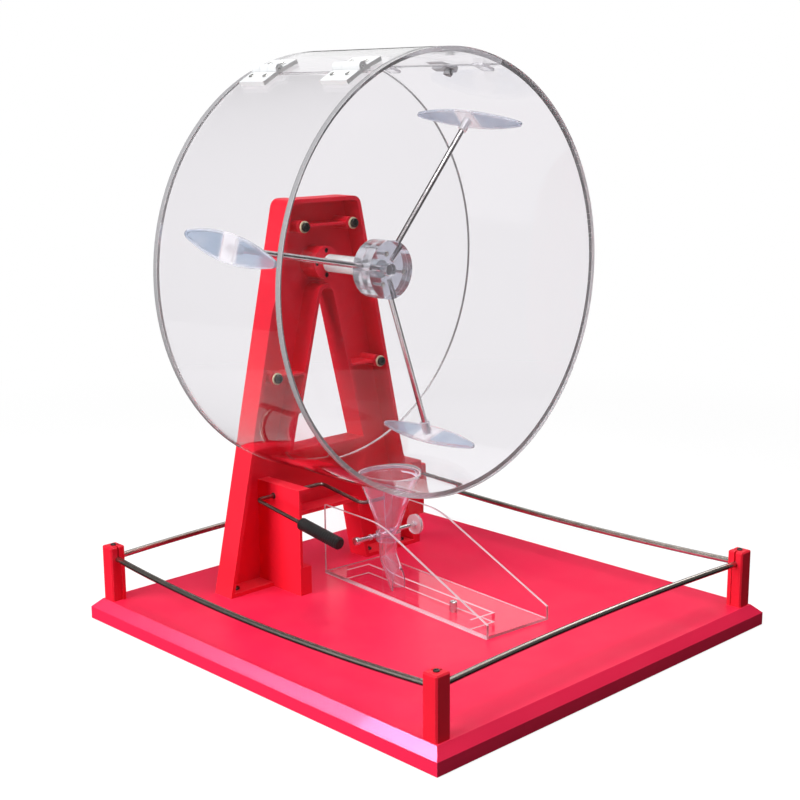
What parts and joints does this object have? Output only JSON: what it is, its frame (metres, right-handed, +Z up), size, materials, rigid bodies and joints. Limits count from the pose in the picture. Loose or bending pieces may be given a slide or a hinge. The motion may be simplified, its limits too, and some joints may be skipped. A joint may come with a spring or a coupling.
{
  "type": "lottery machine",
  "caption": "Tabletop lottery drum: clear tumbling drum with lid and powered paddle rotor on a red A-shaped stand, ball funnel, gate, lever and tray on a railed board.",
  "frame": {"origin": "bottom centre of the base board", "axes": "+Z up, drum axis along Y with the open front towards -Y, +X to the right seen from the front"},
  "size_m": [0.48, 0.508, 0.581],
  "materials": {
    "board_red": "deep red lacquer, glossy",
    "stand_red": "moulded, bright red, satin gloss",
    "post_red": "bright red, satin gloss",
    "chrome_rod": "polished rod",
    "lever_steel": "drawn steel rod, dulled",
    "screw_dark": "blackened steel",
    "screw_bright": "bright zinc",
    "washer_cream": "cream nylon",
    "acrylic_clear": "clear acrylic, polished edges",
    "acrylic_lilac": "clear acrylic with a lilac cast",
    "sleeve_frost": "milky translucent tube",
    "hinge_white": "white moulded plastic",
    "catch_grey": "grey plastic",
    "grip_black": "soft black grip",
    "bush_nylon": "black nylon",
    "bearing_bronze": "sintered bronze",
    "motor_steel": "zinc plated steel",
    "switch_black": "black moulded plastic"
  },
  "bodies": {
    "machine": {"base_board": "board_red", "post_front": "post_red", "post_right": "post_red", "post_left": "post_red", "post_back": "post_red", "post_set_screws": "screw_dark", "base_screws": "screw_dark", "rail_left": "chrome_rod", "rail_front": "chrome_rod", "rail_right": "chrome_rod", "rail_back": "chrome_rod", "a_frame": "stand_red", "left_bracket": "stand_red", "frame_screws": "screw_dark", "lever_bush": "bush_nylon", "switch_box": "stand_red", "switch_housing": "switch_black", "power_inlet": "switch_black", "motor_gearbox": "motor_steel", "motor_can": "motor_steel", "shaft_bush": "bearing_bronze", "drum_wall": "acrylic_clear", "drum_front_disc": "acrylic_clear", "drum_back_disc": "acrylic_clear", "drum_screws": "screw_dark", "drum_washers": "washer_cream", "hinge_fixed_front": "hinge_white", "hinge_fixed_back": "hinge_white", "hinge_pins": "screw_bright", "hinge_screws_drum": "screw_bright", "outlet_funnel": "acrylic_clear", "neck_collar": "acrylic_clear", "chute_tube": "acrylic_clear", "tray_floor": "acrylic_clear", "tray_wall_left": "acrylic_clear", "tray_wall_right": "acrylic_clear", "ball_rail": "acrylic_clear", "rail_stud": "screw_bright"},
    "lid": {"lid_panel": "acrylic_clear", "hinge_lid_front": "hinge_white", "hinge_lid_back": "hinge_white", "hinge_screws_lid": "screw_bright", "catch_bar": "catch_grey"},
    "catch": {"catch_knob": "hinge_white"},
    "rotor": {"rotor_shaft": "chrome_rod", "shaft_sleeve": "sleeve_frost", "hub_front": "acrylic_lilac", "hub_back": "acrylic_lilac", "hub_screws": "screw_bright", "spoke_1": "chrome_rod", "spoke_2": "chrome_rod", "spoke_3": "chrome_rod", "paddle_1": "acrylic_lilac", "paddle_2": "acrylic_lilac", "paddle_3": "acrylic_lilac"},
    "gate": {"gate_pin": "screw_bright", "gate_wheel": "acrylic_clear"},
    "lever": {"lever_rod": "lever_steel", "lever_grip": "grip_black"},
    "switch": {"switch_rocker": "switch_black"}
  },
  "joints": [
    {"name": "rotor_spin", "type": "hinge", "parent": "machine", "child": "rotor", "pos_m": [0, 0.0595, 0.363], "axis": [0, 1, 0], "continuous": true},
    {"name": "lid_hinge", "type": "hinge", "parent": "machine", "child": "lid", "pos_m": [-0.10124, 0.052, 0.56169], "axis": [0, -1, 0], "range_deg": [0, 110]},
    {"name": "catch_turn", "type": "hinge", "parent": "machine", "child": "catch", "pos_m": [0.08518, 0.047, 0.56367], "axis": [0.3907, 0, 0.9205], "range_deg": [0, 90]},
    {"name": "lever_pivot", "type": "hinge", "parent": "machine", "child": "lever", "pos_m": [-0.0733, 0.144, 0.12275], "axis": [-1, 0, 0], "range_deg": [-9, 9]},
    {"name": "gate_turn", "type": "hinge", "parent": "machine", "child": "gate", "pos_m": [0, 0.0605, 0.0816], "axis": [1, 0, 0], "range_deg": [0, 90]},
    {"name": "switch_rock", "type": "hinge", "parent": "machine", "child": "switch", "pos_m": [0.142, 0.16075, 0.093], "axis": [0, 1, 0], "range_deg": [0, 14]}
  ]
}
